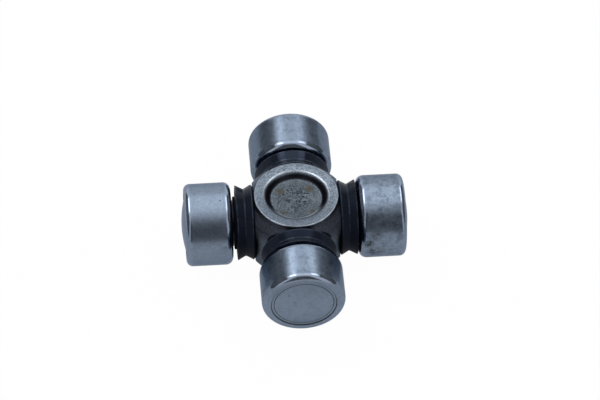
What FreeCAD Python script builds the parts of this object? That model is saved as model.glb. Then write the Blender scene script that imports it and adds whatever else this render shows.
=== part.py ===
import FreeCAD, Part
import os
import Sketcher

# Centre of a steering universal joint: a forged cross with four bearing cups on it.
# The origin is the centre of the cross. +Z goes up through the round boss, +X and +Y run along two
# of the trunnions. Every piece of an arm is drawn on the +X arm and turned to its own arm afterwards.

SIZES = [
    # Bearing cups
    ("cup_dia", 15.0, "outside diameter of a cup, which is pressed into a yoke ear"),
    ("cup_length", 8.5, "from the mouth of a cup to the flat rim of its closed end"),
    ("cup_corner", 1.1, "radius round the closed end"),
    ("mouth_corner", 1.3, "radius of the curled lip round the mouth"),
    ("mouth_rim", 0.08, "least width of the flat rim left inside that lip"),
    ("cup_floor", 1.6, "thickness of the closed end at its flat rim"),
    ("cup_rim", 0.55, "width of the flat rim between that radius and the ring groove"),
    ("ring_width", 0.5, "width of the ring groove"),
    ("ring_depth", 0.4, "depth of the ring groove below the flat rim"),
    ("crown_height", 0.6, "how far the dome stands out past the flat rim"),
    # How far each loose cup stands off its seat
    ("standoff_right", 0.22, "gap of the cup at +X"),
    ("standoff_back", 0.55, "gap of the cup at +Y"),
    ("standoff_left", 0.8, "gap of the cup at -X"),
    ("standoff_front", 0.5, "gap of the cup at -Y"),
    # Needle bearings
    ("needle_dia", 1.85, "diameter of a needle roller"),
    ("needle_inset", 0.65, "from the mouth of a cup to its rollers"),
    ("needle_gap", 0.03, "running clearance of a roller on each side and at each end"),
    ("needle_side_gap", 0.02, "least clearance between two rollers"),
    ("washer_thickness", 0.9, "plastic thrust washer"),
    ("washer_hole_dia", 2.4, "grease hole through the washer"),
    ("washer_gap", 0.02, "from the washer to the cup floor and, when seated, to the trunnion"),
    ("washer_side_gap", 0.06, "from the washer's edge to the cup wall"),
    # Cross
    ("journal_dia", 8.4, "ground diameter that the rollers run on"),
    ("journal_chamfer", 0.6, "chamfer at the end of a trunnion"),
    ("centre_hole_dia", 2.0, "centre hole in the end of a trunnion"),
    ("centre_hole_depth", 1.2, "depth of the centre hole"),
    ("across_flats", 15.4, "between the two flat shoulders of opposite trunnions"),
    ("corner_reach", 1.9, "how far the forged corners stand out past the flats, from the middle"),
    ("boss_over_seals", 0.15, "how far a boss stands out past the ridges of the seals"),
    ("boss_inset", 0.05, "how far a boss stays inside the flats"),
    ("boss_wall", 0.9, "height of the straight wall of a boss"),
    ("boss_flank", 1.4, "height of the sloping flank between that wall and the corners"),
    ("boss_edge", 0.15, "chamfer round a boss"),
    ("recess_rim", 1.85, "width of the flat ring round the recess in a boss"),
    ("recess_slope", 1.05, "how far the wall of the recess leans in"),
    ("recess_depth", 1.2, "depth of the recess"),
    ("trunnion_root", 1.0, "how deep the trunnions are drawn into the hub"),
    # Seals
    ("seal_seat_rise", 0.6, "how far the turned seat of a seal stands above the journal"),
    ("seal_seat_end", 1.2, "from the end of that seat to the outer lip of its seal"),
    ("seal_gap", 0.3, "from the shoulder to the seal"),
    ("seal_length", 2.9, "length of a seal along its trunnion"),
    ("seal_ridge_dia", 13.7, "over the two ridges of a seal"),
    ("seal_valley_dia", 12.1, "bottom of the groove between the ridges"),
    ("seal_valley_place", 1.4, "from the end next to the shoulder to the bottom of the groove"),
    ("seal_lip_depth", 0.6, "how far the face next to the cup is hollowed"),
    ("seal_lip_width", 0.5, "width of the rim of that face"),
    ("seal_fit", 0.02, "clearance of a seal on its seat and on the journal"),
    ("wiper_thickness", 0.6, "thickness of the sleeve that wipes the journal under the mouth of a cup"),
    ("wiper_gap", 0.2, "from the end of that sleeve to the rollers of a seated cup"),
    ("lip_gap", 0.05, "from the lip of a seal to the mouth of a seated cup"),
]

# A length under this counts as none
NOTHING = 1e-9

doc = FreeCAD.newDocument("steering_universal_joint")
sheet = doc.addObject("Spreadsheet::Sheet", "sizes")
for row, (alias, size, meaning) in enumerate(SIZES, start=1):
    sheet.set(f"A{row}", alias)
    sheet.set(f"B{row}", str(size))
    sheet.setAlias(f"B{row}", alias)
    sheet.set(f"C{row}", meaning)
doc.recompute()

# Lengths that follow from the sheet, as expressions along an arm (x) and across it (y)
journal_radius = "sizes.journal_dia / 2"
seat_radius = f"({journal_radius} + sizes.seal_seat_rise)"
roller_circle = f"({journal_radius} + sizes.needle_gap + sizes.needle_dia / 2)"
roller_half_angle = f"asin((sizes.needle_dia + sizes.needle_side_gap) / 2 / {roller_circle})"
cup_radius = "sizes.cup_dia / 2"
bore_radius = f"({roller_circle} + sizes.needle_dia / 2 + sizes.needle_gap)"
shoulder = "sizes.across_flats / 2"
hub_radius = f"({shoulder} + sizes.corner_reach)"
seal_inside = f"({shoulder} + sizes.seal_gap)"
seal_outside = f"({seal_inside} + sizes.seal_length)"
cup_mouth = f"({seal_outside} + sizes.lip_gap)"
cup_end = f"({cup_mouth} + sizes.cup_length)"
crown = f"({cup_end} + sizes.crown_height)"
floor_inside = f"({cup_end} - sizes.cup_floor)"
washer_outside = f"({floor_inside} - sizes.washer_gap)"
washer_inside = f"({washer_outside} - sizes.washer_thickness)"
trunnion_end = f"({washer_inside} - sizes.washer_gap)"


def value(expression):
    """The number that an expression on the sheet gives now."""
    return float(sheet.evalExpression(expression))


def new_body(label):
    """An empty body whose label names its file."""
    body = doc.addObject("PartDesign::Body", label)
    body.Label = label
    return body


def new_sketch(body, name, role):
    """A sketch on one of the body's own origin planes."""
    sketch = body.newObject("Sketcher::SketchObject", name)
    plane = next(item for item in body.Origin.OriginFeatures if item.Role == role)
    sketch.AttachmentSupport = (plane, "")
    sketch.MapMode = "FlatFace"
    return sketch


def bind(sketch, kind, side, end, expression):
    """Tie one coordinate of a sketch point to an expression."""
    size = value(expression)
    if abs(size) < NOTHING:
        axis = -1 if kind == "DistanceY" else -2
        sketch.addConstraint(Sketcher.Constraint("PointOnObject", side, end, axis))
        return
    if size > 0:
        index = sketch.addConstraint(Sketcher.Constraint(kind, -1, 1, side, end, size))
        sketch.setExpression(f"Constraints[{index}]", expression)
    else:
        index = sketch.addConstraint(Sketcher.Constraint(kind, side, end, -1, 1, -size))
        sketch.setExpression(f"Constraints[{index}]", f"-({expression})")


def outline(sketch, corners):
    """Draw a closed outline. Where a corner has a third item, an arc about that centre starts there."""
    spots = [FreeCAD.Vector(value(corner[0]), value(corner[1]), 0) for corner in corners]
    starts = []
    for side, first in enumerate(spots):
        second = spots[(side + 1) % len(spots)]
        if len(corners[side]) == 2:
            sketch.addGeometry(Part.LineSegment(first, second), False)
            starts.append((1, 2))
            continue
        centre = FreeCAD.Vector(*[value(item) for item in corners[side][2]], 0)
        forward = (first - centre).cross(second - centre).z > 0
        arms = [first - centre, second - centre] if forward else [second - centre, first - centre]
        turn = [FreeCAD.Vector(1, 0, 0).getAngle(arm) * (1 if arm.y >= 0 else -1) for arm in arms]
        circle = Part.Circle(centre, FreeCAD.Vector(0, 0, 1), arms[0].Length)
        sketch.addGeometry(Part.ArcOfCircle(circle, turn[0], turn[1]), False)
        starts.append((1, 2) if forward else (2, 1))
    for side in range(len(spots)):
        following = (side + 1) % len(spots)
        joined = Sketcher.Constraint("Coincident", side, starts[side][1], following, starts[following][0])
        sketch.addConstraint(joined)
    for side, (x, y, *arc) in enumerate(corners):
        bind(sketch, "DistanceX", side, starts[side][0], x)
        bind(sketch, "DistanceY", side, starts[side][0], y)
        for centre_x, centre_y in arc:
            if abs(value(centre_y)) < NOTHING:
                bind(sketch, "DistanceY", side, 3, centre_y)
            else:
                bind(sketch, "DistanceX", side, 3, centre_x)


def revolve(body, name, sketch, axis):
    """Turn a sketch right round one of its own axes, which adds to the body."""
    feature = body.newObject("PartDesign::Revolution", name)
    feature.Profile = sketch
    feature.ReferenceAxis = (sketch, [axis])
    feature.Angle = 360
    doc.recompute()
    return feature


def repeat_round(body, name, features, axis_role, count):
    """Repeat features round one of the body's own axes."""
    pattern = body.newObject("PartDesign::PolarPattern", name)
    pattern.Originals = features
    axis = next(item for item in body.Origin.OriginFeatures if item.Role == axis_role)
    pattern.Axis = (axis, [""])
    pattern.Angle = 360
    if isinstance(count, str):
        pattern.setExpression("Occurrences", count)
    else:
        pattern.Occurrences = count
    body.Tip = pattern
    doc.recompute()
    return pattern


def place_on_arm(body, side, quarter_turns, direction, slides=True):
    """Turn a piece from the +X arm to its own arm and move it out by that arm's standoff."""
    body.Placement = FreeCAD.Placement(
        FreeCAD.Vector(0, 0, 0), FreeCAD.Rotation(FreeCAD.Vector(0, 0, 1), 90 * quarter_turns)
    )
    if not slides:
        return
    for axis, step in zip("xy", direction):
        if step:
            body.setExpression(f"Placement.Base.{axis}", f"{step} * sizes.standoff_{side}")


def make_cross():
    """The forging: a round hub milled flat on four sides, and four turned trunnions."""
    body = new_body("cross")
    boss = f"({shoulder} - sizes.boss_inset)"
    top = "(sizes.seal_ridge_dia / 2 + sizes.boss_over_seals)"
    edge = "sizes.boss_edge"
    wall_foot = f"({top} - sizes.boss_wall)"
    floor = f"({top} - sizes.recess_depth)"
    rim = f"({boss} - sizes.recess_rim)"
    floor_rim = f"({rim} - sizes.recess_slope)"
    upper = [
        (hub_radius, f"{wall_foot} - sizes.boss_flank"),
        (boss, wall_foot),
        (boss, f"{top} - {edge}"),
        (f"{boss} - {edge}", top),
        (rim, top),
        (floor_rim, floor),
        ("0", floor),
    ]
    lower = [(x, f"-({y})") for x, y in reversed(upper)]
    section = new_sketch(body, "hub_section", "XZ_Plane")
    outline(section, lower + upper)
    revolve(body, "hub", section, "V_Axis")

    flat = new_sketch(body, "shoulder_cut", "XY_Plane")
    outline(
        flat,
        [
            (shoulder, f"-({hub_radius})"),
            (hub_radius, f"-({hub_radius})"),
            (hub_radius, hub_radius),
            (shoulder, hub_radius),
        ],
    )
    cut = body.newObject("PartDesign::Pocket", "shoulder_flat")
    cut.Profile = flat
    cut.Type = "ThroughAll"
    cut.Midplane = True
    doc.recompute()
    repeat_round(body, "shoulder_flats", [cut], "Z_Axis", 4)

    root = f"({shoulder} - sizes.trunnion_root)"
    seat_end = f"({seal_outside} - sizes.seal_seat_end)"
    chamfer = "sizes.journal_chamfer"
    hole = "sizes.centre_hole_dia / 2"
    trunnion = new_sketch(body, "trunnion_section", "XY_Plane")
    outline(
        trunnion,
        [
            (root, "0"),
            (f"{trunnion_end} - sizes.centre_hole_depth", "0"),
            (trunnion_end, hole),
            (trunnion_end, f"{journal_radius} - {chamfer}"),
            (f"{trunnion_end} - {chamfer}", journal_radius),
            (seat_end, journal_radius),
            (seat_end, seat_radius),
            (root, seat_radius),
        ],
    )
    arm = revolve(body, "trunnion", trunnion, "H_Axis")
    repeat_round(body, "trunnions", [arm], "Z_Axis", 4)
    return body


def make_cup(label):
    """A closed bearing cup: ground outside, ring groove and dome on its end."""
    body = new_body(label)
    corner = "sizes.cup_corner"
    lip = f"min(sizes.mouth_corner, {cup_radius} - {bore_radius} - sizes.mouth_rim)"
    groove = f"({cup_end} - sizes.ring_depth)"
    ring = f"({cup_radius} - {corner} - sizes.cup_rim)"
    dome_edge = f"({ring} - sizes.ring_width)"
    dome_rise = "(sizes.crown_height + sizes.ring_depth)"
    dome_radius = f"(({dome_edge}) ^ 2 + {dome_rise} ^ 2) / (2 * {dome_rise})"
    section = new_sketch(body, f"{label}_section", "XY_Plane")
    corner_centre = (f"{cup_end} - {corner}", f"{cup_radius} - {corner}")
    lip_centre = (f"{cup_mouth} + {lip}", f"{cup_radius} - {lip}")
    outline(
        section,
        [
            (floor_inside, "0"),
            (crown, "0", (f"{crown} - {dome_radius}", "0")),
            (groove, dome_edge),
            (groove, ring),
            (cup_end, ring),
            (cup_end, corner_centre[1], corner_centre),
            (corner_centre[0], cup_radius),
            (lip_centre[0], cup_radius, lip_centre),
            (cup_mouth, lip_centre[1]),
            (cup_mouth, bore_radius),
            (floor_inside, bore_radius),
        ],
    )
    revolve(body, f"{label}_turned", section, "H_Axis")
    return body


def make_seal(label):
    """A rubber ring with a V groove between its two ridges, and a sleeve that wipes the journal."""
    body = new_body(label)
    ridge = "sizes.seal_ridge_dia / 2"
    bore = f"({seat_radius} + sizes.seal_fit)"
    valley = f"({seal_inside} + sizes.seal_valley_place)"
    seat_step = f"({seal_outside} - sizes.seal_seat_end + sizes.seal_fit)"
    wiper_bore = f"({journal_radius} + sizes.seal_fit)"
    wiper = f"({wiper_bore} + sizes.wiper_thickness)"
    wiper_end = f"({cup_mouth} + sizes.needle_inset - sizes.wiper_gap)"
    section = new_sketch(body, f"{label}_section", "XY_Plane")
    outline(
        section,
        [
            (seal_inside, bore),
            (seat_step, bore),
            (seat_step, wiper_bore),
            (wiper_end, wiper_bore),
            (wiper_end, wiper),
            (f"{seal_outside} - sizes.seal_lip_depth", wiper),
            (seal_outside, f"{ridge} - sizes.seal_lip_width"),
            (seal_outside, ridge),
            (valley, "sizes.seal_valley_dia / 2"),
            (seal_inside, ridge),
        ],
    )
    revolve(body, f"{label}_moulded", section, "H_Axis")
    return body


def make_needle_rollers(label):
    """One full ring of loose rollers, a separate solid each."""
    body = new_body(label)
    body.AllowCompound = True
    start = f"({cup_mouth} + sizes.needle_inset)"
    section = new_sketch(body, f"{label}_circle", "YZ_Plane")
    section.AttachmentOffset.Base = FreeCAD.Vector(0, 0, value(start))
    section.setExpression("AttachmentOffset.Base.z", start)
    circle = Part.Circle(
        FreeCAD.Vector(value(roller_circle), 0, 0), FreeCAD.Vector(0, 0, 1), value("sizes.needle_dia / 2")
    )
    section.addGeometry(circle, False)
    bind(section, "DistanceX", 0, 3, roller_circle)
    bind(section, "DistanceY", 0, 3, "0")
    size = section.addConstraint(Sketcher.Constraint("Diameter", 0, value("sizes.needle_dia")))
    section.setExpression(f"Constraints[{size}]", "sizes.needle_dia")
    roller = body.newObject("PartDesign::Pad", f"{label}_one")
    roller.Profile = section
    roller.setExpression("Length", f"{washer_inside} - sizes.needle_gap - {start}")
    doc.recompute()
    repeat_round(body, f"{label}_ring", [roller], "X_Axis", f"floor(180 deg / {roller_half_angle})")
    return body


def make_thrust_washer(label):
    """The plastic disc that takes the end load of a trunnion."""
    body = new_body(label)
    section = new_sketch(body, f"{label}_section", "XY_Plane")
    edge = f"({bore_radius} - sizes.washer_side_gap)"
    hole = "sizes.washer_hole_dia / 2"
    outline(
        section,
        [(washer_inside, hole), (washer_outside, hole), (washer_outside, edge), (washer_inside, edge)],
    )
    revolve(body, f"{label}_moulded", section, "H_Axis")
    return body


ARMS = [("right", 0, (1, 0)), ("back", 1, (0, 1)), ("left", 2, (-1, 0)), ("front", 3, (0, -1))]

pieces = [make_cross()]
for side, quarter_turns, direction in ARMS:
    for make, kind in (
        (make_cup, "cup"),
        (make_needle_rollers, "needle_rollers"),
        (make_thrust_washer, "thrust_washer"),
    ):
        piece = make(f"{kind}_{side}")
        place_on_arm(piece, side, quarter_turns, direction)
        pieces.append(piece)
    seal = make_seal(f"seal_{side}")
    place_on_arm(seal, side, quarter_turns, direction, slides=False)
    pieces.append(seal)
doc.recompute()

for item in doc.Objects:
    if "Invalid" in item.State or "Error" in item.State:
        raise RuntimeError(f"{item.Label} did not build: {item.State}")
for piece in pieces:
    if piece.Shape.isNull() or not piece.Shape.isValid():
        raise RuntimeError(f"{piece.Label} is not a valid solid")

os.makedirs("parts", exist_ok=True)
for piece in pieces:
    piece.Shape.exportStep(f"parts/{piece.Label}.step")
    solids = piece.Shape.Solids
    print(f"{piece.Label}: {len(solids)} solid(s), {sum(solid.Volume for solid in solids):.2f} mm3")
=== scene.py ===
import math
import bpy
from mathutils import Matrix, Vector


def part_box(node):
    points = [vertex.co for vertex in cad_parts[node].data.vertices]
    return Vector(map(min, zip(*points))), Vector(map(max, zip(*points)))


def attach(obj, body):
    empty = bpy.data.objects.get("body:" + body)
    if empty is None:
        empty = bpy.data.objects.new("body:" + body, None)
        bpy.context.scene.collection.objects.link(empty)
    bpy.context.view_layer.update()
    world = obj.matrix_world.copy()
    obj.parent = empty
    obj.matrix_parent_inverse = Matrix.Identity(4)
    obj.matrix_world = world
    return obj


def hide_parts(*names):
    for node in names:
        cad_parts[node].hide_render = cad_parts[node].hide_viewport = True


bl_info = {
    "name": "Steering universal joint",
    "version": (1, 0, 0),
    "blender": (4, 5, 0),
    "location": "View3D > Sidebar > Joint",
    "description": "Dresses the packed cross, bearing cups and seals of a steering universal joint",
    "category": "Object",
}

import bmesh
import bpy
from bpy.props import FloatProperty, FloatVectorProperty, IntProperty, PointerProperty
from mathutils import Matrix, Vector

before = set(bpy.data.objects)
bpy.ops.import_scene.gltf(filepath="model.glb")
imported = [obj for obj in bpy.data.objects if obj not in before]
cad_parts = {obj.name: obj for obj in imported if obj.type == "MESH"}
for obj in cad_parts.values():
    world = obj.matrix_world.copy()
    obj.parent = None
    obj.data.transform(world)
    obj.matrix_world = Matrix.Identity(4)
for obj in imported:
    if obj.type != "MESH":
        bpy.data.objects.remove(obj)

PHOTO_WIDTH = 600
SENSOR_WIDTH = 36.0
MM = 0.001
WELD = 1e-7
RIM_ANGLE = math.radians(25)
SHARP_ANGLE = math.radians(35)
CORNER_STEPS = 10
DOME_STEPS = 16

# The arms, each with its turn about Z from the +X arm in degrees
ARMS = {"right": 0, "back": 90, "left": 180, "front": 270}

# Pits and stains on the cups: place on its own arm and size in millimetres, and how dark it is
PITS = {
    "right": (
        (14.5, -1.2, 7.4, 0.9, 0.35),
        (12.7, -7.2, 0.9, 1.5, 0.85),
        (13.7, -7.1, -1.4, 2.0, 0.75),
        (14.1, -6.9, 2.4, 1.4, 0.65),
    ),
    "back": ((12.9, 1.6, 7.3, 0.5, 0.3),),
    "left": ((13.8, -0.9, 7.45, 0.24, 0.9), (13.8, 0.95, 7.44, 0.3, 0.7), (13.2, 7.35, 1.5, 0.7, 0.5)),
    "front": (
        (20.4, -2.75, 2.86, 0.46, 1.0),
        (20.4, -1.68, 1.24, 0.34, 0.8),
        (15.2, 4.9, 5.7, 0.8, 0.4),
    ),
}

# How stained each cup is
STAINS = {"right": 1.0, "back": 1.0, "left": 0.3, "front": 1.0}

# How dull the outside of each cup is, without its closed end
TARNISH = {"right": 0.0, "back": 0.35, "left": 0.0, "front": 0.3}

# How strongly each seal reflects, and how rough its upper side is
SHINE = {"right": (0.07, 0.16), "back": (0.4, 0.03), "left": (0.08, 0.16), "front": (0.22, 0.16)}

# Rust stains on the floor of the recess: place and size in millimetres
RUST = ((-2.7, 1.9, 1.05), (2.5, 2.2, 1.1), (-2.6, -3.2, 0.8), (2.7, -3.3, 0.8))


def length(name, description, millimetres):
    """A length that the sidebar shows in the scene's unit."""
    return FloatProperty(
        name=name, description=description, default=millimetres * MM, unit="LENGTH", precision=5
    )


def angle(name, description, degrees):
    """An angle that the sidebar shows in degrees."""
    return FloatProperty(
        name=name, description=description, default=math.radians(degrees), subtype="ANGLE", unit="ROTATION"
    )


def colour(name, description, red, green, blue):
    """A linear colour."""
    return FloatVectorProperty(
        name=name, description=description, default=(red, green, blue), subtype="COLOR", min=0, max=1
    )


def factor(name, description, share):
    """A share from 0 to 1."""
    return FloatProperty(
        name=name, description=description, default=share, min=0, max=1, subtype="FACTOR"
    )


def facets(name, what, number):
    """How many flats go round a turned piece."""
    return IntProperty(name=name, description=f"Facets round {what}", default=number, min=8)


def watts(name, power):
    """The power of a lamp."""
    return FloatProperty(name=name, description="In watts", default=power, min=0)


class JointCupSettings(bpy.types.PropertyGroup):
    """The bearing cups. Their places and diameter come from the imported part."""

    corner: length("End corner", "Radius round the closed end", 1.1)
    lip: length("Mouth corner", "Radius of the curled lip round the mouth", 1.3)
    floor: length("Floor", "Thickness of the closed end at its flat rim", 1.6)
    rim: length("Rim", "Width of the flat rim between the end corner and the ring groove", 0.55)
    groove_width: length("Groove width", "Width of the ring groove", 0.5)
    groove_depth: length("Groove depth", "Depth of the ring groove below the rim", 0.18)
    crown: length("Crown", "How far the dome stands out past the rim", 0.6)
    bore: length("Bore", "Radius of the bore that the rollers run in", 6.11)
    edge: length("Edge break", "Rounding of the edges of the groove", 0.08)
    steps: facets("Steps", "a cup", 160)


class JointSealSettings(bpy.types.PropertyGroup):
    """The rubber seals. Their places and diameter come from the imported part."""

    start: length("Start", "From the middle of the cross to the face that lies on the shoulder", 7.74)
    shoulder_edge: length("Shoulder edge", "Radius of that face", 6.45)
    bore: length("Bore", "Radius of the hole round the turned seat", 4.82)
    thickness: length("Length", "From the end at the shoulder to the outer lip", 2.9)
    valley: length("Valley", "Radius at the bottom of the V groove", 6.05)
    valley_place: length("Valley place", "From the end at the shoulder to the bottom of the groove", 1.4)
    lip_depth: length("Lip depth", "How far the face next to the cup is hollowed", 0.6)
    lip_width: length("Lip width", "Width of the rim of that face", 0.5)
    wiper: length("Wiper", "Outer radius of the sleeve that wipes the journal", 4.82)
    wiper_bore: length("Wiper bore", "Inner radius of that sleeve", 4.22)
    step: length("Step", "From the end at the shoulder to the step between seat and journal", 1.72)
    edge: length("Edge", "Rounding of the two ridges", 0.1)
    steps: facets("Steps", "a seal", 128)


class JointCrossSettings(bpy.types.PropertyGroup):
    """The forged cross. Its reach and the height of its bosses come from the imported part."""

    shoulder: length("Shoulder", "From the middle to a milled shoulder", 7.7)
    hub: length("Hub radius", "Radius of the forged corners", 9.6)
    hub_height: length("Hub height", "Half height of the forged corners", 4.7)
    boss: length("Boss radius", "Radius of the round boss", 7.65)
    boss_wall: length("Boss wall", "Height of the straight wall of the boss", 0.9)
    boss_edge: length("Boss edge", "Break of the edge round the boss", 0.18)
    forged_round: length("Forged rounding", "Rounding of the forged corners", 0.8)
    recess_round: length("Rim rounding", "Rounding of the rim of the recess", 0.45)
    rim_break: length("Shoulder break", "Rounding of the rims of the milled shoulders", 0.1)
    recess: length("Recess rim", "Radius of the recess at its rim", 5.8)
    recess_floor: length("Recess floor", "Radius of the recess at its floor", 4.75)
    recess_depth: length("Recess depth", "Depth of the recess", 1.2)
    seat: length("Seal seat", "Radius of the turned seat of a seal", 4.8)
    seat_end: length("Seat end", "From the middle to the end of the seal seat", 9.7)
    journal: length("Journal", "Radius of the ground journal", 4.2)
    # Painted shade, with grease, darkens each journal up to this reach
    grease_and_shade_end: length("Greasy end and shade", "From the middle to the end of the greasy stretch of a journal", 12)
    chamfer: length("Chamfer", "Chamfer at the end of a trunnion", 0.6)
    hole: length("Centre hole", "Radius of the centre hole in a trunnion", 1.0)
    hole_depth: length("Hole depth", "Depth of the centre hole", 1.2)
    edge: length("Edge", "Rounding of the edges of a trunnion", 0.1)
    steps: facets("Steps", "the hub", 192)
    trunnion_steps: facets("Trunnion steps", "a trunnion", 96)


class JointBearingSettings(bpy.types.PropertyGroup):
    """The needle rollers and thrust washers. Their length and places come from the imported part."""

    roller: length("Roller", "Radius of a needle roller", 0.925)
    roller_end: length("Roller end", "Rounding of the ends of a roller", 0.15)
    circle: length("Roller circle", "Radius of the circle through the rollers", 5.155)
    count: IntProperty(name="Rollers", description="Rollers in one cup", default=17, min=3)
    steps: facets("Steps", "a roller", 24)
    washer_hole: length("Washer hole", "Radius of the grease hole through a washer", 1.2)
    washer_edge: length("Washer edge", "Rounding of the edges of a washer", 0.12)
    washer_steps: facets("Washer steps", "a washer", 64)


class JointFinishSettings(bpy.types.PropertyGroup):
    """Colours of the finishes."""

    steel: colour("Ground steel", "Clean places of the cups", 0.228, 0.283, 0.368)
    steel_stained: colour("Stained steel", "Cloudy places of the cups", 0.125, 0.16, 0.213)
    # Painted highlight: burnished steel laid on the upper side of the cup corners
    steel_worn_highlight: colour("Burnished steel and highlight", "Corners of the cups", 0.5, 0.56, 0.7)
    steel_edge: colour("Steel at the edge", "Tint of the steel where it turns away", 0.62, 0.67, 0.76)
    # Dirt in the pits, and painted shade with dirt along the ring groove of the cups
    dirt_and_shade: colour("Dirt", "Dirt in the pits, painted shade with dirt along the grooves", 0.022, 0.022, 0.02)
    forging: colour("Blasted forging", "Light grains of the boss", 0.27, 0.32, 0.38)
    forging_dark: colour("Blasted forging, dark", "Dark grains of the boss", 0.06, 0.075, 0.1)
    # Rubbed metal with a painted highlight on the rims of the boss and recess, and painted light on the
    # front wall of the recess
    rim: colour("Rubbed rim and highlight", "Rims of the boss and its recess", 0.45, 0.5, 0.56)
    recess: colour("Recess", "Light grains of the floor of the recess", 0.13, 0.156, 0.184)
    recess_dark: colour("Recess, dark", "Dark grains of the floor of the recess", 0.026, 0.032, 0.04)
    rust: colour("Rust", "Rust stains in the recess", 0.058, 0.054, 0.043)
    scale: colour("Forging scale", "Skin on the sides of the hub", 0.066, 0.075, 0.1)
    # Also painted shade on the back wall of the recess and on the journals next to the seals
    scale_dark_and_shade: colour("Forging scale, dark", "Wall of the recess and the seal seats", 0.014, 0.015, 0.02)
    journal: colour("Journal", "Ground trunnions", 0.24, 0.28, 0.34)
    roller: colour("Roller", "Polished needle rollers", 0.5, 0.52, 0.56)
    rubber: colour("Rubber", "Seals", 0.0064, 0.0083, 0.0138)
    # Painted highlight on the upper side of the seal ridges and groove, over worn rubber
    rubber_worn_highlight: colour("Worn rubber and highlight", "Ridges and groove of the seals", 0.032, 0.042, 0.066)
    rubber_shine: colour("Rubber shine", "Tint of the reflections in the seals", 0.5, 0.66, 1.0)
    washer: colour("Washer", "Plastic thrust washers", 0.68, 0.66, 0.57)


class JointStudioSettings(bpy.types.PropertyGroup):
    """Floor, lamps, cards and camera."""

    azimuth: angle("Azimuth", "Camera direction round the joint", -4.696)
    elevation: angle("Elevation", "Camera height above the horizon", 48.88)
    roll: angle("Roll", "Turn of the camera about its own axis", 0.606)
    distance: length("Distance", "From the middle of the joint to the camera", 563.9)
    nearest: length("Nearest", "Nearest distance that the camera shows", 10)
    focal: FloatProperty(name="Focal length", description="In photograph pixels", default=3097.1)
    aside: length("Aside", "Shift of the camera to its right", 0.738)
    above: length("Above", "Shift of the camera upwards", 3.591)
    floor_size: length("Floor size", "Side of the square floor", 4000)
    lamp_height: length("Lamp height", "Height of the lamps above the joint", 700)
    lamp_front: length("Lamp front", "How far the two lamps reach in front of the joint", 15)
    lamp_depth: length("Lamp depth", "Side of the two lamps from front to back", 715)
    left_lamp: length("Left lamp", "Middle of the left lamp", -325)
    left_width: length("Left lamp width", "Side of the left lamp from left to right", 220)
    left_power: watts("Left lamp power", 1.75)
    right_lamp: length("Right lamp", "Middle of the right lamp", 395)
    right_width: length("Right lamp width", "Side of the right lamp from left to right", 250)
    right_power: watts("Right lamp power", 1.2)
    ceiling_width: length("Ceiling width", "Side of the dim lamp behind both from left to right", 1150)
    ceiling_depth: length("Ceiling depth", "Side of the dim lamp behind both from front to back", 900)
    ceiling_behind: length("Ceiling place", "How far its middle hangs behind the joint", 360)
    ceiling_power: watts("Ceiling power", 1.65)
    surround: FloatProperty(name="Surround", description="White in view and in reflections", default=1)
    fill: FloatProperty(name="Fill", description="Soft light from all round on the rest", default=0.6)
    floor_gap: length("Floor gap", "Gap between the cups and the floor", 0.1)
    floor_paper: factor("Floor paper", "Grey of the floor under its white", 0.9)
    floor_white: factor("Floor white", "How far the floor is washed out to white, with its shadow", 0.98)
    floor_mirrored: factor("Floor mirrored", "The same for what a reflection sees of the floor", 0.85)
    floor_dimmed: factor("Floor dimmed", "White of the floor in reflections", 0.77)
    card_distance: length("Card distance", "From the joint to a dark card", 750)
    card_tone: factor("Card tone", "Grey of the dark cards", 0.23)
    card_fade: length("Card fade", "Height from which a dark card grows lighter", 700)
    card_white: length("Card white", "Height at which a dark card is white", 1900)
    front_card: length("Front card height", "Height of the dark card behind the camera", 2000)
    front_card_left: length("Front card left", "How far it reaches to the left", 433)
    front_card_right: length("Front card right", "How far it reaches to the right", 400)
    left_card: length("Left card height", "Height of the dark card at the left", 960)
    left_card_front: length("Left card front", "How far it reaches in front of the joint", 600)
    left_card_back: length("Left card back", "How far it reaches behind the joint", 1200)
    right_card: length("Right card height", "Height of the dark card at the right", 860)
    right_card_front: length("Right card front", "How far it reaches in front of the joint", 430)
    right_card_back: length("Right card back", "How far it reaches behind the joint", 900)


class Pencil:
    """Draws half the section of a turned piece in the XZ plane, with X as the axis of the piece."""

    def __init__(self, mesh, x, radius):
        self.mesh = mesh
        self.before = set(mesh.verts)
        self.tip = mesh.verts.new((x, 0, radius))
        self.rounded = []

    def to(self, x, radius, rounding=0):
        """Go straight on to a corner, which is rounded afterwards."""
        self.tip = bmesh.ops.extrude_vert_indiv(self.mesh, verts=[self.tip])["verts"][0]
        bmesh.ops.translate(self.mesh, verts=[self.tip], vec=Vector((x, 0, radius)) - self.tip.co)
        if rounding:
            self.rounded.append((self.tip, rounding))

    def round(self, x, radius, degrees, steps):
        """Go round a centre. A turn from the radius towards the axis of the piece is positive."""
        made = bmesh.ops.spin(
            self.mesh,
            geom=[self.tip],
            cent=(x, 0, radius),
            axis=(0, 1, 0),
            angle=math.radians(degrees),
            steps=steps,
        )
        self.tip = next(item for item in made["geom_last"] if isinstance(item, bmesh.types.BMVert))

    def turn(self, steps):
        """Round the corners, then turn the outline right round its axis. Returns the new vertices."""
        for corner, rounding in self.rounded:
            bmesh.ops.bevel(
                self.mesh,
                geom=[corner],
                offset=rounding,
                segments=4,
                profile=0.5,
                affect="VERTICES",
                material=-1,
            )
        edges = [edge for edge in self.mesh.edges if edge.verts[0] not in self.before]
        bmesh.ops.spin(
            self.mesh,
            geom=self.made() + edges,
            cent=(0, 0, 0),
            axis=(1, 0, 0),
            angle=math.tau,
            steps=steps,
            use_merge=True,
        )
        bmesh.ops.remove_doubles(self.mesh, verts=self.made(), dist=WELD)
        return self.made()

    def made(self):
        """The vertices that the pencil has made."""
        return [vert for vert in self.mesh.verts if vert not in self.before]


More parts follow.
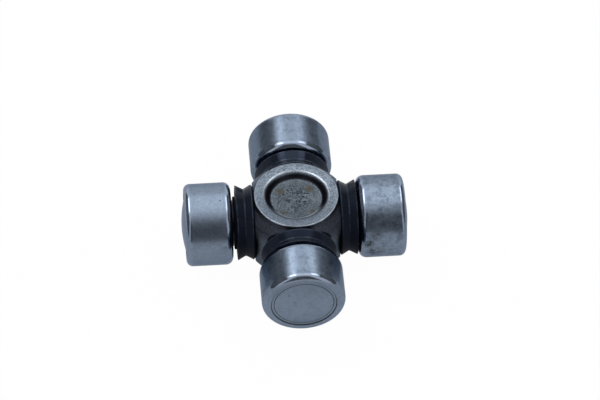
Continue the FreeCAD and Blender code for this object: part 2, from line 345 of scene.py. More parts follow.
def finish_piece(mesh, name, body, nodes, finishes):
    """Make the object of a finished mesh and hang it on its body."""
    bmesh.ops.recalc_face_normals(mesh, faces=mesh.faces)
    for face in mesh.faces:
        face.smooth = True
    data = bpy.data.meshes.new(name)
    mesh.to_mesh(data)
    mesh.free()
    data.set_sharp_from_angle(angle=SHARP_ANGLE)
    piece = bpy.data.objects.new(name, data)
    bpy.context.scene.collection.objects.link(piece)
    for finish in finishes:
        data.materials.append(finish)
    weighted = piece.modifiers.new("even_shading", "WEIGHTED_NORMAL")
    weighted.keep_sharp = True
    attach(piece, body)
    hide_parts(*nodes)


def arm_turn(side):
    """The turn about Z from the +X arm to another arm."""
    return Matrix.Rotation(math.radians(ARMS[side]), 3, "Z")


def turn_to_arm(mesh, verts, side):
    """Turn a piece from the +X arm to its own arm."""
    bmesh.ops.rotate(mesh, verts=verts, cent=(0, 0, 0), matrix=arm_turn(side))


def span(node, side):
    """Nearest and farthest point of a CAD node along its arm, and its radius."""
    low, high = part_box(node)
    along = arm_turn(side).transposed()
    near, far = sorted(((along @ low).x, (along @ high).x))
    return near, far, (high.z - low.z) / 2


class Finish:
    """A material that is built node by node from Object coordinates."""

    def __init__(self, name, turn=0):
        self.material = bpy.data.materials.new(name)
        self.material.use_nodes = True
        self.tree = self.material.node_tree
        self.shader = self.tree.nodes["Principled BSDF"]
        place = self.add("ShaderNodeTexCoord").outputs["Object"]
        mapping = self.add("ShaderNodeMapping", {"Vector": place})
        mapping.inputs["Rotation"].default_value = (0, 0, math.radians(-turn))
        self.place = mapping.outputs["Vector"]
        parts = self.add("ShaderNodeSeparateXYZ", {"Vector": self.place})
        self.x, self.y, self.z = parts.outputs

    def add(self, kind, inputs=None, **settings):
        """One node. Each input is a number, a colour or the output of another node."""
        node = self.tree.nodes.new(kind)
        for setting, choice in settings.items():
            setattr(node, setting, choice)
        for socket, item in (inputs or {}).items():
            if isinstance(item, bpy.types.NodeSocket):
                self.tree.links.new(item, node.inputs[socket])
            else:
                node.inputs[socket].default_value = item
        return node

    def sum(self, operation, first, second=0.0, third=0.0):
        """A step of arithmetic."""
        node = self.add("ShaderNodeMath", {0: first, 1: second, 2: third}, operation=operation)
        return node.outputs[0]

    def product(self, first, *others):
        """Some shares multiplied."""
        total = first
        for other in others:
            total = self.sum("MULTIPLY", total, other)
        return total

    def rest(self, share):
        """What a share leaves of 1."""
        return self.sum("SUBTRACT", 1.0, share)

    def size(self, value):
        """A value without its sign."""
        return self.sum("ABSOLUTE", value)

    def ease(self, value, low, high, start=0.0, end=1.0):
        """Rise smoothly from start to end while a value goes from low to high."""
        inputs = {0: value, 1: low, 2: high, 3: start, 4: end}
        return self.add("ShaderNodeMapRange", inputs, interpolation_type="SMOOTHSTEP").outputs[0]

    def radius(self):
        """Distance from the axis of the arm."""
        squares = self.sum("ADD", self.sum("POWER", self.y, 2), self.sum("POWER", self.z, 2))
        return self.sum("SQRT", squares)

    def vector(self, x, y, z):
        """Three values as one place."""
        return self.add("ShaderNodeCombineXYZ", {0: x, 1: y, 2: z}).outputs[0]

    def noise(self, scale, detail, rough, place=None):
        """Soft random blotches, per metre."""
        inputs = {"Vector": place or self.place, "Scale": scale, "Detail": detail, "Roughness": rough}
        return self.add("ShaderNodeTexNoise", inputs).outputs["Fac"]

    def spot(self, centre, size, soft):
        """1 inside a ball round a place on the piece, and 0 outside it."""
        away = self.add("ShaderNodeVectorMath", {0: self.place, 1: centre}, operation="DISTANCE")
        return self.ease(away.outputs["Value"], size * soft, size, 1.0, 0.0)

    def stripe(self, value, middle, width):
        """1 where a value is at the middle, and 0 half a width or more from it."""
        away = self.size(self.sum("SUBTRACT", value, middle))
        return self.ease(away, width * 0.2, width * 0.5, 1.0, 0.0)

    def most(self, *shares):
        """The greatest of some shares."""
        total = shares[0]
        for share in shares[1:]:
            total = self.sum("MAXIMUM", total, share)
        return total

    def blend(self, share, first, second):
        """Mix two colours."""
        node = self.add("ShaderNodeMix", {"Factor": share}, data_type="RGBA")
        for socket, item in zip(("A", "B"), (first, second)):
            target = next(s for s in node.inputs if s.name == socket and s.type == "RGBA")
            if isinstance(item, bpy.types.NodeSocket):
                self.tree.links.new(item, target)
            else:
                target.default_value = (*item[:3], 1)
        return next(s for s in node.outputs if s.type == "RGBA")

    def bump(self, height, distance, strength, after=None):
        """A fine relief, whose height of 1 stands for a distance in metres."""
        inputs = {"Height": height, "Distance": distance, "Strength": strength}
        if after:
            inputs["Normal"] = after
        return self.add("ShaderNodeBump", inputs).outputs[0]

    def set(self, **sockets):
        """Give the shader its values. A socket's spaces are written as underscores."""
        for name, item in sockets.items():
            socket = self.shader.inputs[name.replace("_", " ")]
            if isinstance(item, bpy.types.NodeSocket):
                self.tree.links.new(item, socket)
            elif socket.type == "RGBA":
                socket.default_value = (*item[:3], 1)
            else:
                socket.default_value = item
        return self.material


def ground_steel(side, near, far, radius):
    """Tumbled steel: cloudy stains, fine lines, burnished corners with a painted highlight on their upper
    side, painted shade at the top of the closed end, grime in the pits, and painted shade with grime along
    the groove.
    """
    sizes = bpy.context.scene.joint_cups
    colours = bpy.context.scene.joint_finishes
    finish = Finish(f"ground_steel_{side}", ARMS[side])
    ease, product, rest = finish.ease, finish.product, finish.rest
    reach = finish.radius()
    lines = finish.noise(9000, 3, 0.6, finish.vector(finish.x, reach, 0.0))
    clouds = finish.noise(480, 5, 0.65)
    mottle = finish.noise(1300, 4, 0.7)
    grain = finish.noise(3600, 3, 0.7)
    flat_rim = far - sizes.crown

    # Stains and specks, weaker on the closed end, a dull film on the sides, and painted shade that darkens
    # the upper part of the closed end
    end = ease(finish.x, flat_rim - sizes.floor / 2, flat_rim - sizes.floor / 2 + 0.1 * MM)
    calm = product(end, 0.6)
    cloudy = finish.sum("ADD", product(clouds, 0.5), product(mottle, 0.5))
    stained = product(ease(cloudy, 0.38, 0.56, STAINS[side], 0.0), rest(calm))
    stained = finish.sum("MULTIPLY_ADD", calm, 0.05, stained)
    base = finish.blend(stained, colours.steel, colours.steel_stained)
    side_film = product(rest(end), TARNISH[side])
    # Painted shade: the closed end grows darker towards its top
    painted_end_shade = product(end, ease(finish.z, -1 * MM, 5 * MM, 0.0, 0.35))
    base = finish.blend(finish.most(side_film, painted_end_shade), base, colours.steel_stained)
    specks = product(ease(grain, 0.42, 0.62, 0.0, 0.5), rest(calm))
    base = finish.blend(specks, base, colours.steel_stained)

    # Burnished corners at the closed end and at the mouth, lightened on their upper side as a painted
    # highlight
    corner = flat_rim - sizes.corner
    side_edge = radius - sizes.corner
    outer = product(
        ease(finish.x, corner - 0.1 * MM, corner + 0.3 * MM),
        ease(reach, side_edge + 0.1 * MM, side_edge + 0.5 * MM),
    )
    mouth = product(
        ease(finish.x, near + sizes.lip - 0.5 * MM, near + sizes.lip, 1.0, 0.0),
        ease(reach, radius - sizes.lip, radius - sizes.lip + 0.4 * MM),
    )
    worn_and_highlight = finish.most(outer, mouth)
    # Painted highlight: the upper side of the corners is lightened with the burnished colour
    painted_highlight = product(worn_and_highlight, ease(finish.z, 4.5 * MM, 7 * MM, 0.0, 0.3))
    base = finish.blend(painted_highlight, base, colours.steel_worn_highlight)

    # Painted shade, with dirt, along both edges of the ring groove, and dirt in the pits
    ring = radius - sizes.corner - sizes.rim
    outside = finish.stripe(reach, ring, 0.26 * MM)
    inside = finish.stripe(reach, ring - sizes.groove_width, 0.24 * MM)
    # Painted shade with dirt: dark lines along both edges of the ring groove
    dirt_and_shade = product(finish.most(outside, inside), end, 0.75)
    ragged = ease(finish.noise(2600, 3, 0.6), 0.4, 0.58)
    for x, y, z, size, dark in PITS[side]:
        pit = finish.spot((x * MM, y * MM, z * MM), size * MM, 0.3)
        dirt_and_shade = finish.most(dirt_and_shade, product(pit, ragged, dark))
    base = finish.blend(dirt_and_shade, base, colours.dirt_and_shade)

    rough = finish.sum("MULTIPLY_ADD", clouds, 0.16, 0.22)
    rough = finish.sum("SUBTRACT", rough, product(worn_and_highlight, 0.18))
    relief = finish.bump(lines, 0.002 * MM, 0.3)
    relief = finish.bump(cloudy, 0.01 * MM, 0.5, relief)
    return finish.set(
        Base_Color=base, Metallic=1.0, Roughness=rough, Specular_Tint=colours.steel_edge, Normal=relief
    )


def forged_steel():
    """The forging: grain from blasting on the bosses, stains in the recesses and dark scale on the rest,
    with painted light and shade on the hub and in the recesses, and painted highlights on the rims.
    """
    sizes = bpy.context.scene.joint_cross
    colours = bpy.context.scene.joint_finishes
    finish = Finish("forged_steel")
    ease, product, rest = finish.ease, finish.product, finish.rest
    height = finish.size(finish.z)
    squares = finish.sum("ADD", finish.sum("POWER", finish.x, 2), finish.sum("POWER", finish.y, 2))
    reach = finish.sum("SQRT", squares)
    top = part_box("cross")[1].z
    deep = top - sizes.recess_depth
    grain = finish.noise(4200, 4, 0.7)
    clouds = finish.noise(420, 4, 0.6)
    swirls = finish.noise(1500, 5, 0.7)

    # Blasted grain, with painted shade that makes it darker towards the front and a little towards the
    # left
    shade_slant = finish.sum("MULTIPLY_ADD", finish.x, 0.25, finish.y)
    light = product(ease(grain, 0.33, 0.67), ease(shade_slant, -7 * MM, 7 * MM, 0.42, 1.0))
    blasted_and_shade = finish.blend(light, colours.forging_dark, colours.forging)

    # Floor of the recess, with an etched mottle in its middle and rust
    warped = product(finish.noise(430, 3, 0.55), 8.0)
    contours = finish.size(finish.sum("SUBTRACT", finish.sum("FRACT", warped), 0.5))
    contours = ease(contours, 0.06, 0.22, 1.0, 0.0)
    middle = finish.spot((-0.4 * MM, 0.1 * MM, deep), 4.6 * MM, 0.3)
    etched = product(contours, middle, ease(clouds, 0.35, 0.55, 0.3, 1.0))
    marks = product(ease(grain, 0.3, 0.62), ease(clouds, 0.35, 0.65, 0.6, 1.0))
    marks = product(marks, rest(product(etched, 0.9)))
    floor = finish.blend(marks, colours.recess_dark, colours.recess)
    floor = finish.blend(product(etched, 0.75), floor, colours.scale_dark_and_shade)
    ragged = product(ease(swirls, 0.36, 0.54), 0.95)
    for x, y, size in RUST:
        spot = finish.spot((x * MM, y * MM, deep), size * MM, 0.4)
        floor = finish.blend(product(spot, ragged), floor, colours.rust)

    # Dark scale on the sides of the hub, with painted light that makes it lighter at the back, low down
    # and on the lower corners
    skin_and_painted_light = finish.blend(ease(grain, 0.3, 0.7, 0.35, 1.0), colours.scale_dark_and_shade, colours.scale)
    skin_and_painted_light = finish.blend(ease(finish.y, 2 * MM, 5 * MM), skin_and_painted_light, blasted_and_shade)
    skin_and_painted_light = finish.blend(ease(finish.z, -3 * MM, 1 * MM, 1.0, 0.0), skin_and_painted_light, blasted_and_shade)
    across = finish.most(finish.size(finish.x), finish.size(finish.y))
    painted_corner_light = product(ease(across, 5.5 * MM, 7 * MM), ease(finish.z, 2 * MM, 5 * MM, 1.0, 0.0))
    skin_and_painted_light = finish.blend(painted_corner_light, skin_and_painted_light, blasted_and_shade)

    # Top of the bosses, wall and floor of the recesses; the wall has painted shade at the back and painted
    # light at the front
    boss = ease(height, top - 0.2 * MM, top - 0.1 * MM)
    base = finish.blend(boss, skin_and_painted_light, blasted_and_shade)
    wall = ease(reach, sizes.recess - 0.55 * MM, sizes.recess - 0.15 * MM, 1.0, 0.0)
    # Painted shade on the back of the recess wall and painted light on its front
    painted_wall_light_and_shade = finish.blend(ease(finish.y, -4.2 * MM, -1.8 * MM), colours.rim, colours.scale_dark_and_shade)
    base = finish.blend(wall, base, painted_wall_light_and_shade)
    flat = ease(reach, sizes.recess_floor - 0.25 * MM, sizes.recess_floor + 0.05 * MM, 1.0, 0.0)
    base = finish.blend(flat, base, floor)

    # Rims of the recess and of the boss, rubbed, with a painted highlight that is strongest at the back of
    # the recess rim
    inner_rim_highlight = finish.stripe(reach, sizes.recess - 0.02 * MM, 0.5 * MM)
    inner_rim_highlight = product(inner_rim_highlight, ease(finish.y, -2 * MM, 2 * MM, 0.1, 0.8))
    outer = finish.stripe(reach, sizes.boss - 0.06 * MM, 0.24 * MM)
    rims = product(finish.most(inner_rim_highlight, outer), ease(height, top - 0.3 * MM, top - 0.12 * MM))
    rims = product(rims, ease(clouds, 0.35, 0.6, 0.4, 1.0))
    base = finish.blend(product(rims, 0.8), base, colours.rim)

    rough = finish.sum("MULTIPLY_ADD", rest(finish.most(boss, wall)), 0.14, 0.38)
    rough = finish.sum("SUBTRACT", rough, product(rims, 0.15))
    relief = finish.bump(grain, 0.02 * MM, 0.5)
    return finish.set(
        Base_Color=base, Metallic=1.0, Roughness=rough, Specular_Tint=colours.steel_edge, Normal=relief
    )


def journal_steel():
    """The ground journals, darkened as painted shade, with grease, where the seals reach."""
    sizes = bpy.context.scene.joint_cross
    colours = bpy.context.scene.joint_finishes
    finish = Finish("journal_steel")
    reach = finish.most(finish.size(finish.x), finish.size(finish.y))
    lines = finish.noise(6000, 3, 0.6)
    # Painted shade, with grease: dark up to the end of the seal's reach, ground steel beyond it
    ground = finish.ease(reach, sizes.grease_and_shade_end - 0.3 * MM, sizes.grease_and_shade_end + 0.3 * MM)
    ground = finish.product(ground, finish.ease(lines, 0.0, 1.0, 0.6, 1.0))
    tint = finish.blend(ground, colours.scale_dark_and_shade, colours.journal)
    relief = finish.bump(lines, 0.002 * MM, 0.4)
    return finish.set(Base_Color=tint, Metallic=1.0, Roughness=0.24, Normal=relief)


def roller_steel():
    """Polished needle rollers."""
    colours = bpy.context.scene.joint_finishes
    finish = Finish("roller_steel")
    clouds = finish.noise(1500, 3, 0.6)
    tint = finish.blend(finish.product(clouds, 0.3), colours.roller, colours.steel)
    relief = finish.bump(finish.noise(9000, 2, 0.5), 0.002 * MM, 0.3)
    return finish.set(Base_Color=tint, Metallic=1.0, Roughness=0.16, Normal=relief)


def seal_rubber(side):
    """Black rubber with a soft bluish sheen, fine lines round the ring, and ridges and groove lightened on
    their upper side as a painted highlight.
    """
    sizes = bpy.context.scene.joint_seals
    colours = bpy.context.scene.joint_finishes
    finish = Finish(f"seal_rubber_{side}", ARMS[side])
    ease, product = finish.ease, finish.product
    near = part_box("seal_right")[0].x
    lip = near + sizes.thickness
    lines = finish.noise(4000, 3, 0.7, finish.vector(finish.x, finish.radius(), 0.0))
    clouds = finish.noise(700, 3, 0.6)
    cloudy = [share * 1.8 for share in colours.rubber]
    tint = finish.blend(product(clouds, 0.6), colours.rubber, cloudy)
    # Painted highlight: the ridges and the groove are lightened on their upper side
    worn_and_highlight = finish.most(
        finish.stripe(finish.x, near + 0.06 * MM, 0.3 * MM),
        finish.stripe(finish.x, near + sizes.valley_place, 0.34 * MM),
        finish.stripe(finish.x, lip - 0.08 * MM, 0.3 * MM),
    )
    worn_and_highlight = product(worn_and_highlight, ease(finish.z, 1 * MM, 5 * MM), ease(clouds, 0.4, 0.6, 0.2, 0.9))
    tint = finish.blend(worn_and_highlight, tint, colours.rubber_worn_highlight)

    # Smoother on the upper side, and dull at its sides and on the face next to the cup
    reflecting, upper = SHINE[side]
    rough = finish.sum("MULTIPLY_ADD", clouds, 0.04, ease(finish.z, -1 * MM, 4 * MM, 0.5, upper))
    rough = finish.most(
        rough,
        ease(finish.size(finish.y), 2.5 * MM, 5 * MM, 0.0, 0.6),
        ease(finish.x, lip, lip + 0.2 * MM, 0.0, 0.9),
    )
    return finish.set(
        Base_Color=tint,
        Roughness=rough,
        Specular_IOR_Level=reflecting,
        Specular_Tint=colours.rubber_shine,
        Normal=finish.bump(lines, 0.03 * MM, 0.6),
    )


def washer_plastic():
    """Off-white plastic with a faint mottle."""
    colours = bpy.context.scene.joint_finishes
    finish = Finish("washer_plastic")
    clouds = finish.noise(900, 3, 0.6)
    tint = finish.blend(finish.product(clouds, 0.15), colours.washer, colours.journal)
    relief = finish.bump(clouds, 0.02 * MM, 0.4)
    return finish.set(Base_Color=tint, Roughness=0.42, Normal=relief)


class JOINT_OT_cups(bpy.types.Operator):
    """Make the four bearing cups, closed and domed at their outer ends"""

    bl_idname = "joint.cups"
    bl_label = "Bearing cups"

    def execute(self, context):
        sizes = context.scene.joint_cups
        for side in ARMS:
            node = f"cup_{side}"
            near, far, radius = span(node, side)
            rim = far - sizes.crown
            groove = rim - sizes.groove_depth
            ring = radius - sizes.corner - sizes.rim
            dome = ring - sizes.groove_width
            rise = sizes.crown + sizes.groove_depth
            dome_radius = (dome**2 + rise**2) / (2 * rise)
            mesh = bmesh.new()
            pencil = Pencil(mesh, far, 0)
            pencil.round(far - dome_radius, 0, -math.degrees(math.asin(dome / dome_radius)), DOME_STEPS)
            pencil.to(groove, ring, sizes.edge)
            pencil.to(rim, ring, sizes.edge)
            pencil.to(rim, radius - sizes.corner)
            pencil.round(rim - sizes.corner, radius - sizes.corner, -90, CORNER_STEPS)
            pencil.to(near + sizes.lip, radius)
            pencil.round(near + sizes.lip, radius - sizes.lip, -90, CORNER_STEPS)
            pencil.to(near, sizes.bore, sizes.edge / 2)
            pencil.to(rim - sizes.floor, sizes.bore, sizes.edge)
            pencil.to(rim - sizes.floor, 0)
            turn_to_arm(mesh, pencil.turn(sizes.steps), side)
            steel = ground_steel(side, near, far, radius)
            finish_piece(mesh, f"bearing_cup_{side}", node, [node], [steel])
        return {"FINISHED"}


class JOINT_OT_seals(bpy.types.Operator):
    """Make the four V-grooved rubber seals"""

    bl_idname = "joint.seals"
    bl_label = "Rubber seals"

    def execute(self, context):
        sizes = context.scene.joint_seals
        for side in ARMS:
            node = f"seal_{side}"
            near, far, ridge = span(node, side)
            lip = near + sizes.thickness
            mesh = bmesh.new()
            pencil = Pencil(mesh, sizes.start, sizes.bore)
            first = pencil.tip
            pencil.to(sizes.start, sizes.shoulder_edge, sizes.edge)
            pencil.to(near, ridge, sizes.edge)
            pencil.to(near + sizes.valley_place, sizes.valley, sizes.edge * 2)
            pencil.to(lip, ridge, sizes.edge)
            pencil.to(lip, ridge - sizes.lip_width, sizes.edge)
            pencil.to(lip - sizes.lip_depth, sizes.wiper, sizes.edge)
            pencil.to(far, sizes.wiper, sizes.edge)
            pencil.to(far, sizes.wiper_bore, sizes.edge)
            pencil.to(near + sizes.step, sizes.wiper_bore)
            pencil.to(near + sizes.step, sizes.bore)
            mesh.edges.new((pencil.tip, first))
            turn_to_arm(mesh, pencil.turn(sizes.steps), side)
            rubber = seal_rubber(side)
            finish_piece(mesh, f"rubber_seal_{side}", "cross", [node], [rubber])
        return {"FINISHED"}


class JOINT_OT_cross(bpy.types.Operator):
    """Make the forged cross: a round hub with two bosses, milled flat on four sides, and four trunnions"""

    bl_idname = "joint.cross"
    bl_label = "Forged cross"

    def execute(self, context):
        sizes = context.scene.joint_cross
        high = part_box("cross")[1]
        mesh = bmesh.new()
        self.turn_hub(mesh, sizes, high.z)
        self.mill_shoulders(mesh, sizes)
        for side in ARMS:
            self.add_trunnion(mesh, sizes, high.x, side)
        self.break_edges(mesh, sizes)
        for face in mesh.faces:
            middle = face.calc_center_median()
            reach = max(abs(middle.x), abs(middle.y))
            if reach > sizes.shoulder + WELD:
                face.material_index = 1
        steels = [forged_steel(), journal_steel()]
        finish_piece(mesh, "forged_cross", "cross", ["cross"], steels)
        return {"FINISHED"}

    def turn_hub(self, mesh, sizes, top):
        """The hub is drawn with its axis on X and stood up afterwards."""
        floor = top - sizes.recess_depth
        wall_foot = top - sizes.boss_wall
        half = [
            (floor, 0, 0),
            (floor, sizes.recess_floor, sizes.recess_round),
            (top, sizes.recess, sizes.recess_round),
            (top, sizes.boss, sizes.boss_edge),
            (wall_foot, sizes.boss, sizes.forged_round / 2),
            (sizes.hub_height, sizes.hub, sizes.forged_round),
        ]
        pencil = Pencil(mesh, floor, 0)
        for height, radius, rounding in half[1:]:
            pencil.to(height, radius, rounding)
        for height, radius, rounding in reversed(half):
            pencil.to(-height, radius, rounding)
        upright = Matrix.Rotation(-math.pi / 2, 3, "Y")
        bmesh.ops.rotate(mesh, verts=pencil.turn(sizes.steps), cent=(0, 0, 0), matrix=upright)

    def mill_shoulders(self, mesh, sizes):
        """Cut the hub flat behind each trunnion, and leave it open there."""
        for side in ARMS:
            out = arm_turn(side) @ Vector((1, 0, 0))
            bmesh.ops.bisect_plane(
                mesh,
                geom=mesh.verts[:] + mesh.edges[:] + mesh.faces[:],
                dist=WELD,
                plane_co=out * sizes.shoulder,
                plane_no=out,
                clear_outer=True,
            )

    def add_trunnion(self, mesh, sizes, end, side):
        """Turn a trunnion and join its root to the open shoulder."""
        pencil = Pencil(mesh, sizes.shoulder, sizes.seat)
        pencil.to(sizes.seat_end, sizes.seat, sizes.edge)
        pencil.to(sizes.seat_end, sizes.journal, sizes.edge)
        pencil.to(end - sizes.chamfer, sizes.journal, sizes.edge)
        pencil.to(end, sizes.journal - sizes.chamfer, sizes.edge)
        pencil.to(end, sizes.hole, sizes.edge)
        pencil.to(end - sizes.hole_depth, 0)
        turn_to_arm(mesh, pencil.turn(sizes.trunnion_steps), side)
        out = arm_turn(side) @ Vector((1, 0, 0))

        def at_shoulder(edge):
            return all(abs(vert.co.dot(out) - sizes.shoulder) < 10 * WELD for vert in edge.verts)

        open_edges = [edge for edge in mesh.edges if edge.is_boundary and at_shoulder(edge)]
        bmesh.ops.bridge_loops(mesh, edges=open_edges)

    def break_edges(self, mesh, sizes):
        """Take the sharpness off the rims of the shoulders."""
        bmesh.ops.recalc_face_normals(mesh, faces=mesh.faces)

        def on_shoulder(vert):
            return abs(max(abs(vert.co.x), abs(vert.co.y)) - sizes.shoulder) < 10 * WELD

        def off_axis(vert):
            return Vector((min(abs(vert.co.x), abs(vert.co.y)), vert.co.z)).length

        rims = [
            edge
            for edge in mesh.edges
            if edge.calc_face_angle(0) > RIM_ANGLE
            and all(on_shoulder(vert) for vert in edge.verts)
            and min(off_axis(vert) for vert in edge.verts) > sizes.seat + sizes.rim_break
        ]
        bmesh.ops.bevel(
            mesh,
            geom=rims,
            offset=sizes.rim_break,
            segments=3,
            profile=0.5,
            affect="EDGES",
            clamp_overlap=True,
            material=-1,
        )


class JOINT_OT_rollers(bpy.types.Operator):
    """Make the needle rollers, one ring of loose rollers to a cup"""

    bl_idname = "joint.rollers"
    bl_label = "Needle rollers"

    def execute(self, context):
        sizes = context.scene.joint_bearings
        finish = roller_steel()
        for side in ARMS:
            node = f"needle_rollers_{side}"
            near, far, _ = span(node, side)
            mesh = bmesh.new()
            pencil = Pencil(mesh, near, 0)
            pencil.to(near, sizes.roller, sizes.roller_end)
            pencil.to(far, sizes.roller, sizes.roller_end)
            pencil.to(far, 0)
            bmesh.ops.translate(mesh, verts=pencil.turn(sizes.steps), vec=(0, sizes.circle, 0))
            bmesh.ops.spin(
                mesh,
                geom=mesh.verts[:] + mesh.edges[:] + mesh.faces[:],
                cent=(0, 0, 0),
                axis=(1, 0, 0),
                angle=math.tau * (sizes.count - 1) / sizes.count,
                steps=sizes.count - 1,
                use_duplicate=True,
            )
            turn_to_arm(mesh, mesh.verts, side)
            finish_piece(mesh, f"rollers_{side}", node, [node], [finish])
        return {"FINISHED"}


class JOINT_OT_washers(bpy.types.Operator):
    """Make the plastic thrust washers between the trunnions and the cup floors"""

    bl_idname = "joint.washers"
    bl_label = "Thrust washers"

    def execute(self, context):
        sizes = context.scene.joint_bearings
        finish = washer_plastic()
        for side in ARMS:
            node = f"thrust_washer_{side}"
            near, far, radius = span(node, side)
            mesh = bmesh.new()
            pencil = Pencil(mesh, near, sizes.washer_hole)
            first = pencil.tip
            pencil.to(near, radius, sizes.washer_edge)
            pencil.to(far, radius, sizes.washer_edge)
            pencil.to(far, sizes.washer_hole, sizes.washer_edge)
            mesh.edges.new((pencil.tip, first))
            turn_to_arm(mesh, pencil.turn(sizes.washer_steps), side)
            finish_piece(mesh, f"washer_{side}", node, [node], [finish])
        return {"FINISHED"}


class JOINT_OT_studio(bpy.types.Operator):
    """Make the floor, the soft light, the reflecting cards and the camera"""

    bl_idname = "joint.studio"
    bl_label = "Floor, light and camera"

    def execute(self, context):
        studio = context.scene.joint_studio
        context.scene.view_settings.view_transform = "Standard"
        self.lay_floor(studio)
        self.hang_cards(studio)
        self.light_world(context.scene, studio)
        self.hang_lamps(studio)
        self.place_camera(context.scene, studio)
        return {"FINISHED"}

    def stand(self, mesh, name, material):
        """Make a stage object of a mesh."""
        data = bpy.data.meshes.new(name)
        mesh.to_mesh(data)
        mesh.free()
        data.materials.append(material)
        thing = bpy.data.objects.new(name, data)
        bpy.context.scene.collection.objects.link(thing)
        return thing

    def lay_floor(self, studio):
        """A plain pale floor that keeps a faint shadow."""
        mesh = bmesh.new()
        bmesh.ops.create_grid(mesh, x_segments=1, y_segments=1, size=studio.floor_size / 2)
        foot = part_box("cup_right")[0].z - studio.floor_gap
        bmesh.ops.translate(mesh, verts=mesh.verts, vec=(0, 0, foot))
        material = bpy.data.materials.new("floor_paper")
        material.use_nodes = True
        tree = material.node_tree
        tree.nodes.clear()
        out = tree.nodes.new("ShaderNodeOutputMaterial")
        paper = tree.nodes.new("ShaderNodeBsdfDiffuse")
        paper.inputs["Color"].default_value = (*[studio.floor_paper] * 3, 1)
        white = tree.nodes.new("ShaderNodeEmission")
        mix = tree.nodes.new("ShaderNodeMixShader")
        tree.links.new(self.seen_share(tree, 1, studio.floor_dimmed), white.inputs["Strength"])
        tree.links.new(self.seen_share(tree, studio.floor_white, studio.floor_mirrored), mix.inputs[0])
        tree.links.new(paper.outputs[0], mix.inputs[1])
        tree.links.new(white.outputs[0], mix.inputs[2])
        tree.links.new(mix.outputs[0], out.inputs[0])
        self.stand(mesh, "floor", material)

    def hang_cards(self, studio):
        """Dark cards in front and at the sides, which only reflections see. They grow lighter upwards."""
        fade = Finish("dark_card")
        tone = fade.ease(fade.z, studio.card_fade, studio.card_white, studio.card_tone, 1.0)
        paper = fade.set(Base_Color=fade.vector(tone, tone, tone), Roughness=1.0, Specular_IOR_Level=0.0)
        reach = studio.card_distance
        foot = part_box("cup_right")[0].z
        cards = {
            "front": (-90, studio.front_card, -studio.front_card_left, studio.front_card_right),
            "right": (0, studio.right_card, -studio.right_card_front, studio.right_card_back),
            "left": (180, studio.left_card, -studio.left_card_back, studio.left_card_front),
        }
        upright = Matrix.Rotation(math.pi / 2, 3, "Y")
        for name, (turn, height, start, end) in cards.items():
            mesh = bmesh.new()
            bmesh.ops.create_grid(mesh, x_segments=1, y_segments=1, size=0.5)
            bmesh.ops.scale(mesh, verts=mesh.verts, vec=(height, end - start, 1))
            bmesh.ops.rotate(mesh, verts=mesh.verts, cent=(0, 0, 0), matrix=upright)
            bmesh.ops.translate(mesh, verts=mesh.verts, vec=(reach, (start + end) / 2, foot + height / 2))
            around = Matrix.Rotation(math.radians(turn), 3, "Z")
            bmesh.ops.rotate(mesh, verts=mesh.verts, cent=(0, 0, 0), matrix=around)
            card = self.stand(mesh, f"card_{name}", paper)
            card.visible_camera = False
            card.visible_diffuse = False
            card.visible_shadow = False

    def seen_share(self, tree, direct, mirrored):
        """One share for direct view, another for reflections, and none for other light."""
        path = tree.nodes.new("ShaderNodeLightPath")
        total = None
        kinds = {"Is Camera Ray": direct, "Is Glossy Ray": mirrored, "Is Transmission Ray": direct}
        for kind, share in kinds.items():
            part = tree.nodes.new("ShaderNodeMath")
            part.operation = "MULTIPLY_ADD"
            part.inputs[1].default_value = share
            part.inputs[2].default_value = 0
            tree.links.new(path.outputs[kind], part.inputs[0])
            if total:
                tree.links.new(total, part.inputs[2])
            total = part.outputs[0]
        return total

    def light_world(self, scene, studio):
        """A white surround for the camera and reflections, and a soft fill for the rest."""
        world = bpy.data.worlds.new("studio")
        scene.world = world
        world.use_nodes = True
        tree = world.node_tree
        background = tree.nodes["Background"]
        background.inputs["Color"].default_value = (1, 1, 1, 1)
        fill = tree.nodes.new("ShaderNodeMath")
        fill.operation = "ADD"
        fill.inputs[1].default_value = studio.fill
        extra = studio.surround - studio.fill
        tree.links.new(self.seen_share(tree, extra, extra), fill.inputs[0])
        tree.links.new(fill.outputs[0], background.inputs["Strength"])

    def hang_lamps(self, studio):
        """Two bright softboxes over the joint, left and right, and a wide dim one."""
        depth = studio.lamp_depth
        middle = depth / 2 - studio.lamp_front
        lamps = (
            ("left_lamp", studio.left_power, studio.left_lamp, middle, studio.left_width, depth),
            ("right_lamp", studio.right_power, studio.right_lamp, middle, studio.right_width, depth),
            (
                "ceiling",
                studio.ceiling_power,
                0,
                studio.ceiling_behind,
                studio.ceiling_width,
                studio.ceiling_depth,
            ),
        )
        for name, power, aside, behind, width, depth in lamps:
            lamp = bpy.data.lights.new(name, "AREA")
            lamp.shape = "RECTANGLE"
            lamp.size = width
            lamp.size_y = depth
            lamp.energy = power
            holder = bpy.data.objects.new(name, lamp)
            bpy.context.scene.collection.objects.link(holder)
            holder.location = (aside, behind, studio.lamp_height)
            holder.visible_camera = False

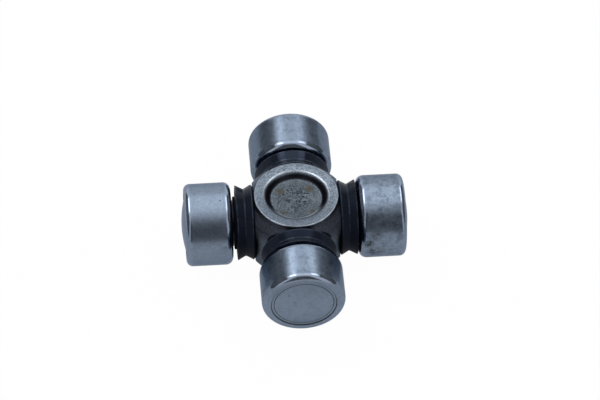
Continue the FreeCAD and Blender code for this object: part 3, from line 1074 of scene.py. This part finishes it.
    def place_camera(self, scene, studio):
        """Look at the joint from where the photograph was taken."""
        turn, tilt = studio.azimuth, studio.elevation
        back = Vector((math.sin(turn) * math.cos(tilt), -math.cos(turn) * math.cos(tilt), math.sin(tilt)))
        level = Vector((math.cos(turn), math.sin(turn), 0))
        upright = back.cross(level)
        right = level * math.cos(studio.roll) + upright * math.sin(studio.roll)
        up = upright * math.cos(studio.roll) - level * math.sin(studio.roll)
        data = bpy.data.cameras.new("camera")
        data.sensor_width = SENSOR_WIDTH
        data.lens = studio.focal / PHOTO_WIDTH * SENSOR_WIDTH
        data.clip_start = studio.nearest
        camera = bpy.data.objects.new("camera", data)
        scene.collection.objects.link(camera)
        axes = Matrix((right, up, back)).transposed()
        spot = back * studio.distance + right * studio.aside + up * studio.above
        camera.matrix_world = Matrix.Translation(spot) @ axes.to_4x4()
        scene.camera = camera


class JOINT_PT_pieces(bpy.types.Panel):
    """Lists the pieces in the sidebar"""

    bl_label = "Steering universal joint"
    bl_idname = "JOINT_PT_pieces"
    bl_space_type = "VIEW_3D"
    bl_region_type = "UI"
    bl_category = "Joint"

    def draw(self, context):
        for operator in OPERATORS:
            self.layout.operator(operator.bl_idname)


SETTINGS = {
    "joint_cups": JointCupSettings,
    "joint_seals": JointSealSettings,
    "joint_cross": JointCrossSettings,
    "joint_bearings": JointBearingSettings,
    "joint_finishes": JointFinishSettings,
    "joint_studio": JointStudioSettings,
}
OPERATORS = (
    JOINT_OT_cross,
    JOINT_OT_seals,
    JOINT_OT_cups,
    JOINT_OT_rollers,
    JOINT_OT_washers,
    JOINT_OT_studio,
)


def register():
    """Register the settings, the operators and the panel."""
    for name, group in SETTINGS.items():
        bpy.utils.register_class(group)
        setattr(bpy.types.Scene, name, PointerProperty(type=group))
    for operator in OPERATORS:
        bpy.utils.register_class(operator)
    bpy.utils.register_class(JOINT_PT_pieces)


def unregister():
    """Take them out again in the opposite order."""
    bpy.utils.unregister_class(JOINT_PT_pieces)
    for operator in reversed(OPERATORS):
        bpy.utils.unregister_class(operator)
    for name, group in reversed(SETTINGS.items()):
        delattr(bpy.types.Scene, name)
        bpy.utils.unregister_class(group)


def main():
    """Make every piece in order."""
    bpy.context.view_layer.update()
    register()
    bpy.ops.joint.cross()
    bpy.ops.joint.seals()
    bpy.ops.joint.cups()
    bpy.ops.joint.rollers()
    bpy.ops.joint.washers()
    bpy.ops.joint.studio()


if __name__ == "__main__":
    main()
